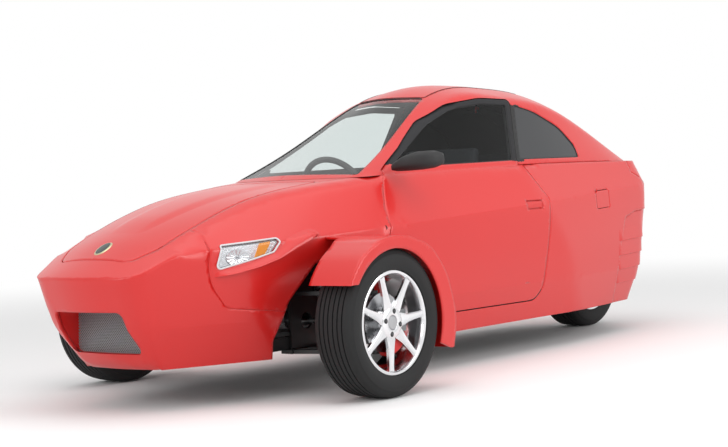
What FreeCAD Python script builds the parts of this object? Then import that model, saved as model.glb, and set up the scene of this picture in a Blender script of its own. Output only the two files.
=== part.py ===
"""Three wheeled car: two front wheels in outboard wings, one rear wheel, tandem seats.

Row frame: +Z up, the nose towards -Y, the car's left side at +X, the origin on the floor under the
middle of the overall length. Stations along the car are measured backwards from the nose tip.
"""
import FreeCAD, Part
import math
import os

from FreeCAD import Matrix, Placement, Rotation, Vector

DIMENSIONS = [
    # name, value (mm, or degrees where said), what it is
    ("overall_length", 4077, "nose tip to tail"),
    ("wheelbase", 2794, "front axle to rear axle"),
    ("front_overhang", 933, "nose tip to front axle"),
    ("track", 1510, "between the middles of the front tyres"),
    ("tyre_radius", 298, "outer radius of the tyres"),
    ("tyre_width", 195, "section width of the tyres"),
    ("rim_radius", 208, "outer radius of the rim's flange"),
    ("rim_width", 172, "rim over its flanges"),
    ("spokes", 7, "spokes in each rim"),
    ("lug_count", 4, "wheel studs"),
    ("lug_circle", 100, "diameter of the stud circle"),
    ("skin", 22, "thickness of a body panel with its frame"),
    ("panel_gap", 5, "shut line round a panel that opens"),
    ("glass_thick", 5, "glass"),
    ("floor_clearance", 165, "floor to the sill"),
    ("door_front", 1290, "station of the door's front edge"),
    ("door_rear", 2520, "station of the door's rear edge"),
    ("sill_top", 262, "height of the door's lower edge"),
    ("door_thick", 60, "the door, skin to inner trim"),
    ("wing_gap", 34, "tyre tread to the inside of the wing"),
    ("wing_thick", 9, "thickness of a wing"),
    ("steer_axis", 735, "half the distance between the steering axes"),
    ("engine_length", 420, "engine block, along the car"),
    ("engine_width", 440, "engine block, across the car"),
    ("engine_height", 380, "engine block, height"),
    ("wheel_tilt", 24, "rake of the steering wheel in degrees"),
    ("steering_wheel_radius", 178, "steering wheel, middle of its rim"),
]

doc = FreeCAD.newDocument("ThreeWheeledCar")
sheet = doc.addObject("Spreadsheet::Sheet", "Dimensions")
for row, (name, value, note) in enumerate(DIMENSIONS, start=1):
    sheet.set("A%d" % row, note)
    sheet.set("B%d" % row, str(value))
    sheet.setAlias("B%d" % row, name)
doc.recompute()


def dim(name):
    """A driving dimension read from the spreadsheet."""
    return float(sheet.get(name))


LENGTH = dim("overall_length")
FRONT_AXLE = dim("front_overhang")
REAR_AXLE = FRONT_AXLE + dim("wheelbase")
TYRE_R = dim("tyre_radius")
TYRE_W = dim("tyre_width")
RIM_R = dim("rim_radius")
SKIN = dim("skin")
GAP = dim("panel_gap")
GLASS = dim("glass_thick")
CLEARANCE = dim("floor_clearance")
WHEEL_X = dim("track") / 2
DOOR_FRONT = dim("door_front")
DOOR_REAR = dim("door_rear")
SIDES = (("left", 1), ("right", -1))


def at(station):
    """The Y coordinate of a station behind the nose."""
    return station - LENGTH / 2


# ---------------------------------------------------------------- wires and lofts


def rounded_wire(points):
    """A closed wire through (Vector, radius) corners, with an arc at each corner of radius over 0.

    An arc never takes more than 0.46 of a straight beside it, so neighbouring arcs don't meet."""
    count = len(points)
    ends = []
    for i, (corner, radius) in enumerate(points):
        before = points[i - 1][0] - corner
        after = points[(i + 1) % count][0] - corner
        most = 0.46 * min(before.Length, after.Length)
        before.normalize()
        after.normalize()
        half = before.getAngle(after) / 2
        if not radius or half > 1.5707:
            ends.append((corner, corner, corner, 0))
            continue
        reach = min(radius / math.tan(half), most)
        radius = reach * math.tan(half)
        middle = (before + after).normalize()
        centre = corner + middle * (radius / math.sin(half))
        ends.append((corner + before * reach, centre - middle * radius, corner + after * reach, radius))
    edges = []
    for i, (start, mid, end, radius) in enumerate(ends):
        if radius:
            edges.append(Part.Arc(start, mid, end).toShape())
        edges.append(Part.LineSegment(end, ends[(i + 1) % count][0]).toShape())
    return Part.Wire(edges)


def mirrored(half):
    """A whole outline from its half, whose first and last corners lie on the centre line."""
    return half + [(-x, *rest) for x, *rest in reversed(half[1:-1])]


def inset(outline, distance):
    """An outline (a, b, radius) of a counter-clockwise or clockwise polygon moved inwards by a distance."""
    count = len(outline)
    area = sum(
        outline[i][0] * outline[(i + 1) % count][1] - outline[(i + 1) % count][0] * outline[i][1]
        for i in range(count)
    )
    turn = 1 if area > 0 else -1
    moved = []
    for i, (a, b, radius) in enumerate(outline):
        pa, pb, _ = outline[i - 1]
        na, nb, _ = outline[(i + 1) % count]
        ux, uy = a - pa, b - pb
        vx, vy = na - a, nb - b
        ul, vl = math.hypot(ux, uy), math.hypot(vx, vy)
        ux, uy, vx, vy = ux / ul, uy / ul, vx / vl, vy / vl
        cross = (ux * vy - uy * vx) * turn
        n1, n2 = (-uy * turn, ux * turn), (-vy * turn, vx * turn)
        k = 1 + n1[0] * n2[0] + n1[1] * n2[1]
        new_radius = max(radius - distance, 2) if cross > 0 else max(radius + distance, 2)
        new_radius = new_radius if radius else 0
        moved.append((a + distance * (n1[0] + n2[0]) / k, b + distance * (n1[1] + n2[1]) / k, new_radius))
    return moved


def prism(outline, axis, low, high):
    """A solid from a closed outline of (a, b) or (a, b, radius), in the plane square to an axis.

    For axis x the outline is (station, z), for y it is (x, z), and for z it is (x, station)."""
    corners = []
    for a, b, *radius in outline:
        point = {
            "x": Vector(low, at(a), b),
            "y": Vector(a, at(low), b),
            "z": Vector(a, at(b), low),
        }[axis]
        corners.append((point, radius[0] if radius else 0))
    way = {"x": Vector(high - low, 0, 0), "y": Vector(0, high - low, 0), "z": Vector(0, 0, high - low)}[axis]
    return Part.Face(rounded_wire(corners)).extrude(way)


def box(x0, x1, s0, s1, z0, z1):
    """A box between two x, two stations and two heights."""
    return Part.makeBox(x1 - x0, s1 - s0, z1 - z0, Vector(x0, at(s0), z0))


def rod(start, end, radius):
    """A round bar between two points."""
    way = end - start
    return Part.makeCylinder(radius, way.Length, start, way)


def point(x, station, z):
    return Vector(x, at(station), z)


def flip(shape):
    """The shape's mirror image on the car's other side."""
    return shape.mirror(Vector(0, 0, 0), Vector(1, 0, 0))


def wall_x(station, z):
    """The half width of the body's outer wall at a station and height."""
    line = Part.makeLine(point(0, station, z), point(900, station, z))
    return BODY.common(line).BoundBox.XMax


def on_side(shape, side):
    return shape if side > 0 else flip(shape)


# ---------------------------------------------------------------- the body's walls, by waterlines

# Each waterline is a level outline seen from above. Columns: height at the nose, height at the tail,
# then (half width, station, radius) at the nose, nose corner, cheek, door front, door rear, tail corner, tail.
WATERLINES = [
    (CLEARANCE, CLEARANCE, [(0, 212, 600), (204, 238, 60), (408, 700, 300), (488, 1330, 700),
                            (492, 2900, 900), (402, 3600, 150), (0, 3930, 500)]),
    (330, 345, [(0, 84, 700), (262, 124, 90), (436, 600, 300), (538, 1330, 900),
                (542, 2800, 900), (436, 3680, 170), (0, 4092, 500)]),
    (445, 560, [(0, 34, 700), (278, 84, 110), (442, 560, 320), (552, 1330, 900),
                (560, 2700, 900), (448, 3715, 180), (0, 4166, 500)]),
    (600, 800, [(0, -22, 700), (276, 40, 120), (444, 560, 340), (556, 1330, 900),
                (566, 2500, 900), (448, 3740, 190), (0, LENGTH + 124, 500)]),
    (960, 960, [(0, 60, 700), (60, 190, 60), (130, 600, 340), (352, 1430, 400),
                (431, 2500, 900), (372, 3735, 190), (0, 3990, 500)]),
]


def waterline(level, distance=0.0):
    """A closed wire of one waterline, moved inwards by a distance."""
    nose_z, tail_z, half = level
    outline = mirrored(half)
    if distance:
        outline = inset(outline, distance)
    slope = (tail_z - nose_z) / LENGTH
    return rounded_wire([(Vector(x, at(s), nose_z + slope * s), r) for x, s, r in outline])


def walls(distance=0.0):
    """The body's closed side walls: a straight sill band, a hollowed flank and a straight shoulder band."""
    wires = [waterline(level, distance) for level in WATERLINES]
    sill = Part.makeLoft(wires[0:2], True, True)
    flank = Part.makeLoft(wires[1:4], True, False)
    shoulder = Part.makeLoft(wires[3:5], True, True)
    return sill.fuse([flank, shoulder]).removeSplitter()


# ---------------------------------------------------------------- the body's top, by cross sections

# The rows of a control net over the hood and rear deck, which the surface follows closely. Columns:
# station, height on the centre line, fall of the row at x = 640.
DECK_ROWS = [
    (-200, 420, 100),
    (-60, 488, 140),
    (0, 534, 160),
    (70, 584, 200),
    (150, 630, 215),
    (230, 678, 210),
    (330, 722, 200),
    (430, 759, 180),
    (640, 814, 100),
    (850, 846, 50),
    (1080, 866, 30),
    (1300, 890, 25),
    (1700, 905, 25),
    (2400, 925, 25),
    (3200, 928, 24),
    (LENGTH + 150, 920, 24),
]
DECK_HALF = 700


def net_surface(rows):
    """A cubic surface over a net of control points."""
    ends = []
    for count in (len(rows), len(rows[0])):
        ends.append(([4] + [1] * (count - 4) + [4], [float(k) for k in range(count - 2)]))
    (u_mults, u_knots), (v_mults, v_knots) = ends
    surface = Part.BSplineSurface()
    surface.buildFromPolesMultsKnots(rows, u_mults, v_mults, u_knots, v_knots, False, False, 3, 3)
    return surface


def under_deck(drop=0.0):
    """Everything between the hood and deck surface and a level below the floor pan."""
    across = [DECK_HALF * k / 3 for k in range(-3, 4)]
    rows = []
    for station, crown, fall in DECK_ROWS:
        rows.append([point(x, station, crown - drop - fall * (x / 640) ** 2) for x in across])
    solid = net_surface(rows).toShape().extrude(Vector(0, 0, -900))
    return solid.common(box(-690, 690, -180, LENGTH + 140, 60, 1400))


# ---------------------------------------------------------------- the greenhouse, by arches

# Each arch of roof and windscreen. Columns: station, half width at the foot, (half width, height, radius)
# of the shoulder over the belt, of the pillar line and of the roof edge, then the height of the crown.
ARCHES = [
    (1130, 360, (358, 750, 40), (340, 780, 60), (300, 800, 200), 832),
    (1400, 412, (410, 850, 40), (396, 884, 60), (336, 916, 300), 962),
    (1750, 430, (428, 856, 50), (344, 1036, 60), (262, 1088, 350), 1128),
    (2080, 444, (442, 862, 50), (312, 1216, 60), (192, 1252, 380), 1284),
    (2520, 450, (448, 870, 50), (330, 1244, 60), (194, 1304, 380), 1322),
    (2900, 446, (444, 872, 50), (340, 1206, 60), (196, 1274, 380), 1299),
    (3300, 424, (422, 872, 50), (338, 1080, 60), (198, 1164, 360), 1198),
    (3700, 384, (382, 870, 50), (320, 930, 60), (196, 978, 300), 1010),
    (3900, 300, (298, 840, 40), (276, 862, 60), (176, 892, 300), 904),
]
ARCH_FOOT = 700


def arch_wire(arch, distance):
    station, foot, *half, crown = arch
    outline = [(foot, ARCH_FOOT, 0)] + half + [(0, crown, 1500)]
    outline += [(-x, z, r) for x, z, r in reversed(half)] + [(-foot, ARCH_FOOT, 0)]
    if distance:
        outline = inset(outline, distance)
        outline[0] = (outline[0][0], ARCH_FOOT, 0)
        outline[-1] = (outline[-1][0], ARCH_FOOT, 0)
    return rounded_wire([(Vector(x, at(station), z), r) for x, z, r in outline])


def greenhouse(distance=0.0):
    """The closed volume under roof and windscreen, moved inwards by a distance."""
    return Part.makeLoft([arch_wire(arch, distance) for arch in ARCHES], True, False)


# ---------------------------------------------------------------- nodes

NODES = []


def add(node, shape):
    """A named object of the document with one shape."""
    feature = doc.addObject("Part::Feature", node)
    feature.Label = node
    feature.Shape = shape.removeSplitter() if shape.ShapeType != "Compound" else shape
    feature.Placement = Placement(Vector(0, 0, 0), Rotation())
    NODES.append(feature)
    return shape


def pair(node, shape):
    """The left piece and its mirror image on the right."""
    for side, sign in SIDES:
        add("%s_%s" % (node, side), on_side(shape, sign))


def main_solid(shape):
    """The biggest solid of a shape, without slivers."""
    return max(shape.Solids, key=lambda solid: solid.Volume)


def both(node, shape):
    """The left piece and its mirror image, as two solids of one node."""
    add(node, Part.makeCompound([main_solid(shape), flip(main_solid(shape))]))


# ---------------------------------------------------------------- outlines of the panels

SEAM = 0.6
DOOR_T = dim("door_thick")
SILL = dim("sill_top")
# The doors' hinge axis, behind the shut line so that the front edge turns in behind the panel ahead of it.
HINGE_X = 532
HINGE_S = DOOR_FRONT + 56
BULKHEAD_REAR = DOOR_FRONT - 26
# The hood seen from above (x, station), and the shut line between the nose and the headlamp panel.
HOOD_EDGE = [(0, 116, 900), (192, 132, 70), (252, 236, 120), (266, 420, 600), (270, 800, 600),
             (276, 1150, 20), (0, 1140, 900)]
NOSE_LINE = [(-200, 90), (760, 90), (760, 350), (451, 388, 60), (363, 509, 300), (392, 690),
             (392, 1200), (-200, 1200)]
# The wheel bay in the body side (station, z).
BAY = [(690, 60), (690, 168), (676, 240, 40), (736, 392, 80), (876, 535, 60), (985, 575, 60),
       (1140, 562, 90), (1222, 440, 120), (1240, 300, 200), (1246, 60)]
HEADLAMP = [(400, 540, 14), (432, 636, 12), (716, 652, 12), (664, 596, 20)]
DOOR_LOW = [(DOOR_FRONT, SILL, 30), (DOOR_REAR - 28, SILL - 4, 90), (DOOR_REAR, 420, 400),
            (DOOR_REAR + 28, 600, 400), (DOOR_REAR + 46, 748, 60), (DOOR_REAR - 36, 916), (DOOR_REAR - 36, 1000), (1470, 1000), (1470, 906),
            (DOOR_FRONT + 44, 730, 200), (DOOR_FRONT, 600, 300)]
DOOR_FRAME = [(1470, 860), (1470, 904, 10), (1660, 1000, 300), (1870, 1124, 300), (2070, 1204, 300),
              (2330, 1236, 500), (DOOR_REAR + 62, 1232, 20), (DOOR_REAR - 36, 930), (DOOR_REAR - 36, 860)]
DOOR_WINDOW = [(1530, 914, 12), (1700, 1000, 300), (1900, 1112, 300), (2090, 1182, 300),
               (2330, 1210, 500), (DOOR_REAR + 22, 1208, 14), (DOOR_REAR - 70, 932, 14)]
QUARTER_WINDOW = [(DOOR_REAR - 2, 936, 14), (DOOR_REAR + 92, 1206, 14), (2760, 1178, 500),
                  (2980, 1096, 300), (3092, 1000, 60), (3100, 940, 14)]
# The roof, windscreen and hatch seen from above (x, station).
ROOF = [(0, 2002, 900), (196, 2066, 20), (190, 2886, 30), (0, 2886, 0)]
SCREEN = [(0, 1258, 900), (350, 1342, 20), (196, 2065, 20), (0, 2001, 900)]
HATCH = [(0, 2900, 0), (190, 2900, 30), (196, 3250, 500), (200, 3700, 40), (0, 3780, 900)]
HATCH_WINDOW = [(0, 2975, 0), (140, 2975, 40), (140, 3430, 60), (0, 3470, 900)]
REAR_BUMPER = [(3345, 60), (3350, 330, 300), (3380, 480, 300), (3440, 612, 40), (3560, 640, 200),
               (4400, 690), (4400, 60)]
TAIL = [(3612, 1200), (3612, 850), (3770, 790), (3770, 560), (4400, 560), (4400, 1200)]
FUEL_FLAP = [(3092, 672, 10), (3090, 760, 10), (3236, 766, 10), (3240, 678, 10)]


def plan(outline, grow=0.0, z0=60, z1=1500):
    """A tall solid over a half outline (x, station, radius) and its mirror image, grown by a distance."""
    whole = mirrored(outline)
    return prism(inset(whole, -grow) if grow else whole, "z", z0, z1)


def side(outline, grow=0.0, x0=0.0, x1=800.0):
    """A wide solid over an outline (station, z) of the left side, grown by a distance."""
    filled = [(a, b, r[0] if r else 0) for a, b, *r in outline]
    return prism(inset(filled, -grow) if grow else filled, "x", x0, x1)


# ---------------------------------------------------------------- whole volumes of the body

hood_plan = plan(HOOD_EDGE)
hood_hole = plan(HOOD_EDGE, GAP)
CREASE = [(-300, 480), (LENGTH + 300, 724), (LENGTH + 300, 1600), (-300, 1600)]
above_crease = prism(CREASE, "x", -800, 800)
hood_cut = hood_hole.common(above_crease)

DECK = under_deck()
BODY = walls().common(DECK)
INNER = walls(SKIN).common(under_deck(SKIN))
LINER = walls(SKIN + SEAM).common(under_deck(SKIN + SEAM))
CABIN = greenhouse(SKIN)
SHELL = BODY.cut([INNER, CABIN.cut(plan(HOOD_EDGE, GAP + 14))])
GLASSHOUSE = greenhouse()
ARCH_SHELL = GLASSHOUSE.cut([CABIN, BODY.translated(Vector(0, 0, 0.8))])
LEFT = box(0.3, 800, -300, LENGTH + 300, 0, 1600)

# ---------------------------------------------------------------- nose, hood and front side panels

# The grille opening is a trapezium in the front face, with a duct behind it.
GRILLE = [(-190, 402, 26), (190, 402, 26), (200, 232, 30), (-200, 232, 30)]
grille_hole = prism(GRILLE, "y", -60, 260)
duct_outer = prism(inset(GRILLE, -6), "y", 20, 230)
nose = SHELL.common(side(NOSE_LINE, 0, -800, 800)).cut([hood_cut, grille_hole, side(BAY, 0, -800, 800)])
add("front_bumper", main_solid(nose))
add("grille_duct", main_solid(duct_outer.common(LINER).cut(grille_hole)))
bars = [box(-240, 240, 209, 215, z, z + 4) for z in range(244, 400, 20)]
bars += [box(x - 2, x + 2, 207, 217, 210, 410) for x in range(-184, 200, 23)]
frame = prism(inset(GRILLE, 0.6), "y", 205, 221)
mesh = frame.cut(prism(inset(GRILLE, 10), "y", 195, 235)).fuse([bar.common(frame) for bar in bars])
add("grille", main_solid(mesh))

# The hood turns about two pins ahead of its rear edge, each between a lug and a post of the subframe.
HOOD_PIN = point(244, 950, 808)
pin_span = (Vector(-10, 0, 0), Vector(18, 0, 0))
lug = prism([(900, 880), (900, 812, 4), (938, 800, 10), (962, 800, 10), (976, 880)], "x", 238, 248)
hood_lug = lug.common(under_deck(4)).fuse(rod(HOOD_PIN + pin_span[0], HOOD_PIN + pin_span[1], 6))
hood = main_solid(SHELL.common(hood_plan).common(above_crease))
hood = hood.cut(under_deck(9).cut(plan(HOOD_EDGE, -9)))
add("hood", main_solid(hood.fuse([hood_lug, flip(hood_lug)])))

COWL_EDGE = [(0, 1120, 0), (281, 1120, 0), (345, 1350, 0), (0, 1350, 0)]
cowl = SHELL.common(plan(COWL_EDGE, 0, 780)).cut([plan(HOOD_EDGE, GAP + 3), side(DOOR_LOW, GAP)])
add("cowl", main_solid(cowl.cut(flip(side(DOOR_LOW, GAP)))))

front_zone = side([(-200, 60), (DOOR_FRONT - SEAM, 60), (DOOR_FRONT - SEAM, 600), (1470, 900), (1470, 1200),
                   (-200, 1200)])
front = SHELL.common(front_zone).common(LEFT)
for tool in (side(NOSE_LINE, SEAM), hood_cut, side(BAY), side(DOOR_LOW, GAP), plan(COWL_EDGE, SEAM, 780),
             side(HEADLAMP)):
    front = front.cut(tool)
# The door's front edge passes behind the panel, so the panel keeps only its outer skin there.
door_swing = rod(point(HINGE_X, HINGE_S, 290), point(HINGE_X, HINGE_S, 730), 64)
both("front_side_panels", front.cut(door_swing.common(walls(4)).common(under_deck(4))))
lamp_zone = side(inset([(a, b, r) for a, b, r in HEADLAMP], SEAM), 0)
both("headlamp_lenses", BODY.cut(walls(4)).common(lamp_zone).common(LEFT))
both("headlamps", BODY.cut(walls(8)).common(lamp_zone).common(LEFT).translated(Vector(-11, 0, 0)))

# ---------------------------------------------------------------- wings over the front wheels

HUB_Z = TYRE_R
WING_OUT = WHEEL_X + TYRE_W / 2 + 9
WING_R = TYRE_R + dim("wing_gap")
WING_T = dim("wing_thick")
WING_TOP = [(640, 466), (706, 590, 60), (819, 638, 120), (1015, 640, 150), (1167, 594, 200), (1273, 474, 250),
            (1330, 290, 300), (1297, 164)]
# The wing seen from above: its front stands free of the body, its rear half meets it (x, station).
WING_PLAN = [(652, 600), (900, 600), (900, 1400), (440, 1400), (440, 962), (604, 900, 40), (652, 760, 200)]
wing_zone = Part.makeCylinder(WING_R, 700, point(300, FRONT_AXLE, HUB_Z), Vector(1, 0, 0))
lip_hole = Part.makeCylinder(TYRE_R - 4, 60, point(WING_OUT - 30, FRONT_AXLE, HUB_Z), Vector(1, 0, 0))
wing_block = side(WING_TOP + [(1277, 164), (FRONT_AXLE, HUB_Z), (748, 466)], 0, 440, WING_OUT)
wing_block = wing_block.common(prism(WING_PLAN, "z", 60, 900))
wing_skin = wing_block.cut(side(WING_TOP + [(1277, 100), (FRONT_AXLE, 0), (547, 466)], -WING_T, 400,
                                WING_OUT - WING_T))
wing = wing_skin.cut([wing_zone.common(box(300, WING_OUT - WING_T, 300, 1500, 0, 900)), lip_hole])
both("wings", wing.cut(walls(-SEAM)))

# ---------------------------------------------------------------- doors

door_skin = BODY.cut([walls(DOOR_T), CABIN.common(walls(DOOR_T))]).common(side(DOOR_LOW)).common(LEFT)
door_frame = GLASSHOUSE.cut(CABIN).common(side(DOOR_FRAME)).common(LEFT)
door_frame = door_frame.cut([plan(ROOF, GAP + 14), plan(SCREEN, GAP + 14)])
door = door_skin.fuse(door_frame).cut(side(DOOR_WINDOW))
hinge_parts = []
for z in (470, 640):
    pocket = box(HINGE_X - 60, HINGE_X + 12, DOOR_FRONT - 10, HINGE_S + 24, z - 26, z + 26)
    door = door.cut(pocket)
    door = door.fuse(rod(point(HINGE_X, HINGE_S, z - 30), point(HINGE_X, HINGE_S, z + 30), 5))
    ring = rod(point(HINGE_X, HINGE_S, z - 18), point(HINGE_X, HINGE_S, z + 18), 10)
    arm = box(HINGE_X - 58, HINGE_X - 3, HINGE_S - 4, HINGE_S + 4, z - 18, z + 18)
    leg = box(HINGE_X - 58, HINGE_X - 50, BULKHEAD_REAR + SEAM, HINGE_S + 4, z - 18, z + 18)
    foot = box(HINGE_X - 58, HINGE_X - 26, BULKHEAD_REAR + SEAM, BULKHEAD_REAR + 8, z - 18, z + 18)
    leaf = ring.fuse([arm, leg, foot])
    hinge_parts.append(leaf.cut(rod(point(HINGE_X, HINGE_S, z - 20), point(HINGE_X, HINGE_S, z + 20), 5.3)))
handle_pocket = box(500, 640, 2360, 2500, 694, 738).cut(walls(12))
handle = walls(5).cut(walls(11.7)).common(box(500, 640, 2368, 2492, 701, 731))
door = main_solid(door.cut(handle_pocket))
pair("door", door)
pair("door_handle", main_solid(handle))
leaves = hinge_parts + [flip(part) for part in hinge_parts]
add("door_hinges", Part.makeCompound([main_solid(leaf) for leaf in leaves]))
window_zone = side(DOOR_WINDOW, -SEAM)
glass_shell = greenhouse(5).cut(greenhouse(5 + GLASS))
door_glass = glass_shell.common(window_zone).common(LEFT)
pair("door_glass", main_solid(door_glass))
# One mirror, on the left door. Its housing is the overlap of its outlines from above and from ahead.
MIRROR_PLAN = [(440, 1478, 12), (600, 1500, 30), (632, 1560, 30), (618, 1634, 16), (470, 1600, 20)]
mirror = prism(MIRROR_PLAN, "z", 880, 1010)
mirror = mirror.common(prism([(430, 916, 6), (590, 904, 30), (640, 930, 30), (636, 970, 24), (560, 988, 40),
                              (430, 944, 6)], "y", 1440, 1700))
mirror = mirror.fuse(box(410, 470, 1500, 1556, 850, 934))
add("mirror_left", main_solid(mirror.cut([greenhouse(-SEAM), BODY.translated(Vector(0, 0, SEAM))])))

# ---------------------------------------------------------------- glasshouse

roof_zone = plan(ROOF)
screen_zone = plan(SCREEN, 0, 700)
hatch_zone = plan(HATCH)
# The hatch's front edge dips under the roof as it opens, so the roof's rear end is thin there.
hatch_swing = box(-215, 215, 2868, 2914, 1150, 1400).common(greenhouse(5))
add("roof_panel", main_solid(ARCH_SHELL.common(roof_zone).cut(hatch_swing)))
add("windshield", main_solid(glass_shell.common(plan(SCREEN, -SEAM)).cut(BODY.translated(Vector(0, 0, 0.6)))))
frame_side = ARCH_SHELL.common(LEFT)
for tool in (plan(ROOF, SEAM), screen_zone, plan(HATCH, GAP), side(DOOR_FRAME, GAP), side(QUARTER_WINDOW)):
    frame_side = frame_side.cut(tool)
both("side_frames", frame_side.cut(hatch_swing))
both("quarter_glasses", glass_shell.common(side(QUARTER_WINDOW, -SEAM)).common(LEFT))
HATCH_PIN = point(150, 3020, 1212)
hatch = main_solid(ARCH_SHELL.common(hatch_zone).cut(plan(HATCH_WINDOW)))
hatch_lug = box(152, 162, 3008, 3032, 1203, 1300).common(greenhouse(6))
hatch_pin = rod(HATCH_PIN, HATCH_PIN + Vector(30, 0, 0), 5)
add("rear_hatch", main_solid(hatch.fuse([hatch_lug, hatch_pin, flip(hatch_lug), flip(hatch_pin)])))
add("hatch_glass", main_solid(glass_shell.common(plan(HATCH_WINDOW, -SEAM))))
hatch_eye = rod(HATCH_PIN + Vector(18, 0, 0), HATCH_PIN + Vector(30, 0, 0), 11)
bracket = box(168, 320, 3010, 3030, 1203, 1217).fuse(hatch_eye)
bracket = bracket.common(greenhouse(SKIN + SEAM)).cut(rod(HATCH_PIN, HATCH_PIN + Vector(40, 0, 0), 5.3))
both("hatch_hinges", bracket)

# ---------------------------------------------------------------- rear of the body

rear_zone = side([(DOOR_FRONT, 60), (LENGTH + 200, 60), (LENGTH + 200, 1200), (1471, 1200), (1471, 900),
                  (DOOR_FRONT, 600)])
quarter = SHELL.common(rear_zone).common(LEFT)
for tool in (side(DOOR_LOW, GAP), side(REAR_BUMPER, SEAM), side(TAIL, SEAM), plan(HATCH, GAP)):
    quarter = quarter.cut(tool)
quarter = main_solid(quarter)
add("body_side_right", flip(quarter))
FLAP_S = 3100
FLAP_X = wall_x(FLAP_S, 716) - 4
flap_socket = rod(point(FLAP_X, FLAP_S, 648), point(FLAP_X, FLAP_S, 788), 2.3)
add("body_side_left", main_solid(quarter.cut([side(FUEL_FLAP, 3), flap_socket])))
flap = BODY.cut(walls(7)).common(side(FUEL_FLAP)).common(LEFT)
flap_pin = rod(point(FLAP_X, FLAP_S, 660), point(FLAP_X, FLAP_S, 774), 2)
add("fuel_flap", main_solid(flap.fuse(flap_pin)))
cup = walls(SKIN + SEAM).cut(walls(SKIN + 40)).common(side(FUEL_FLAP, 12)).common(LEFT)
cup = cup.cut(walls(SKIN + SEAM - 2).cut(walls(SKIN + 34)).common(side(FUEL_FLAP, 3)))
add("fuel_filler", main_solid(cup))
wheel_slot = prism([(-132, 60), (132, 60), (132, 486, 70), (-132, 486, 70)], "y", 3700, 4300)
bumper = walls(7).common(under_deck(7)).cut([INNER, wheel_slot, side(TAIL, SEAM, -800)])
bumper = bumper.common(side(REAR_BUMPER, 0, -800))
add("rear_bumper", main_solid(bumper))
tail = SHELL.common(side(TAIL, 0, -800)).cut(plan(HATCH, GAP))
lamp = prism([(232, 700, 10), (408, 700, 10), (408, 764, 10), (250, 764, 10)], "y", 3772, 4200)
tail = tail.cut([lamp, flip(lamp)])
add("tail_panel", main_solid(tail))
tail_lamp = prism([(232.6, 700.6, 10), (407.4, 700.6, 10), (407.4, 763.4, 10), (250.6, 763.4, 10)], "y", 3772.6, 4200)
tail_lamp = BODY.cut(walls(SKIN - 4)).common(tail_lamp)
both("tail_lamps", tail_lamp)

# ---------------------------------------------------------------- chassis

FLOOR_T = 20
FLOOR_TOP = CLEARANCE + 3 + FLOOR_T
floor_zone = box(-700, 700, 1257, 3370, CLEARANCE + 3, CLEARANCE + 3 + FLOOR_T)
bulkhead = box(-700, 700, BULKHEAD_REAR - 12, BULKHEAD_REAR, CLEARANCE + 3, 860)
rear_wall = box(-700, 700, 3358, 3370, CLEARANCE + 3, 720)
shelf = box(-700, 700, 3358, 3960, 708, 720)
tub = LINER.common(floor_zone.fuse([bulkhead, rear_wall, shelf]))
AXIS_X = dim("steer_axis")
ARM_DROP = 118
RAIL_Z = FLOOR_TOP + 0.6
for sign in (1, -1):
    tub = tub.cut(box(min(sign * 329, sign * 371), max(sign * 329, sign * 371), 1150, 1270, 0, 242))
add("body_tub", main_solid(tub))

rail = box(330, 370, 700, 1440, RAIL_Z, 240)
tower = box(370, 382, 833, 1033, RAIL_Z, 560).fuse(box(370, 470, 863, 1003, 548, 560).common(LINER))
tower = tower.fuse(box(250, 371, 926, 956, 548, 560))
tower = tower.cut(rod(point(300, FRONT_AXLE, HUB_Z), point(500, FRONT_AXLE, HUB_Z), 34))
hood_eye = rod(HOOD_PIN + Vector(6, 0, 0), HOOD_PIN + Vector(18, 0, 0), 10)
hood_post = box(250, 262, 934, 956, 548, 808).fuse(hood_eye)
hood_post = hood_post.cut(rod(HOOD_PIN, HOOD_PIN + Vector(40, 0, 0), 6.3))
half_frame = rail.fuse([tower, hood_post])
cross = [box(-335, 335, 700, 740, RAIL_Z, 240), box(-335, 335, 1040, 1110, RAIL_Z, 240)]
add("front_subframe", main_solid(half_frame.fuse([flip(half_frame)] + cross)))

engine = doc.addObject("Part::Box", "engine")
engine.Label = "engine"
engine.setExpression("Length", "Dimensions.engine_width")
engine.setExpression("Width", "Dimensions.engine_length")
engine.setExpression("Height", "Dimensions.engine_height")
engine.Placement = Placement(point(-dim("engine_width") / 2, 631, 240.6), Rotation())
NODES.append(engine)
ENGINE_X = dim("engine_width") / 2

shaft = rod(point(ENGINE_X + 0.6, FRONT_AXLE, HUB_Z), point(AXIS_X, FRONT_AXLE, HUB_Z), 12)
shaft = shaft.fuse([rod(point(ENGINE_X + 0.6, FRONT_AXLE, HUB_Z), point(ENGINE_X + 70, FRONT_AXLE, HUB_Z), 38),
                    Part.makeSphere(26, point(AXIS_X, FRONT_AXLE, HUB_Z))])
both("drive_shafts", shaft)


def wishbone(z, inner_x, spread):
    """A flat A-shaped arm at a height, with a boss for the knuckle's pin."""
    arms = []
    for way in (1, -1):
        inner = FRONT_AXLE + way * spread
        arms.append(prism([(inner_x, inner - 14), (AXIS_X, FRONT_AXLE - 10), (AXIS_X, FRONT_AXLE + 10),
                           (inner_x, inner + 14)], "z", z - 8, z + 8))
    boss = rod(point(AXIS_X, FRONT_AXLE, z - 8), point(AXIS_X, FRONT_AXLE, z + 8), 20)
    arm = arms[0].fuse([arms[1], boss])
    return arm.cut(rod(point(AXIS_X, FRONT_AXLE, z - 20), point(AXIS_X, FRONT_AXLE, z + 20), 8.3))


LOWER_Z = HUB_Z - ARM_DROP
lower = wishbone(LOWER_Z, 371, 104).fuse([
    box(340, 400, FRONT_AXLE - 118, FRONT_AXLE + 118, LOWER_Z - 8, LOWER_Z + 8),
    box(578, 622, FRONT_AXLE - 46, FRONT_AXLE + 46, LOWER_Z - 8, LOWER_Z + 8)])
upper = wishbone(HUB_Z + ARM_DROP, 382.6, 84)
add("wishbones", Part.makeCompound([main_solid(a) for a in (lower, upper, flip(lower), flip(upper))]))

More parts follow.
